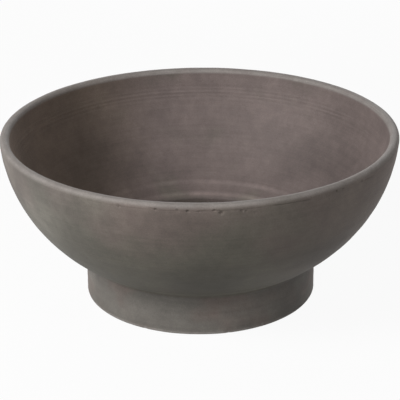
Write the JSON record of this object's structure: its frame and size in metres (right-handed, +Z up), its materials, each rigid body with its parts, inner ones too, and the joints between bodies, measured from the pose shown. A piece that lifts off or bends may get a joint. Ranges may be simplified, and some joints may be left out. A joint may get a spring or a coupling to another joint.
{
  "type": "footed bowl planter",
  "caption": "Wide footed bowl planter in dark unglazed clay, open on top, with a hollow straight foot and a drain hole in its floor.",
  "frame": {"origin": "middle of the resting plane, under the centre of the foot", "axes": "+Z up along the turning axis, towards the open rim; X and Y lie in the resting plane"},
  "size_m": [0.3499, 0.35, 0.151],
  "materials": {
    "bowl_clay": "matt unglazed dark clay, brown to grey, with faint throwing lines",
    "foot_clay": "matt unglazed dark clay, paler and rubbed at the bottom edge",
    "joint_slip": "matt fired slip, a little paler than the clay"
  },
  "bodies": {
    "root": {"bowl_section": "bowl_clay", "foot_section": "foot_clay", "slip_joint": "joint_slip"}
  },
  "joints": []
}
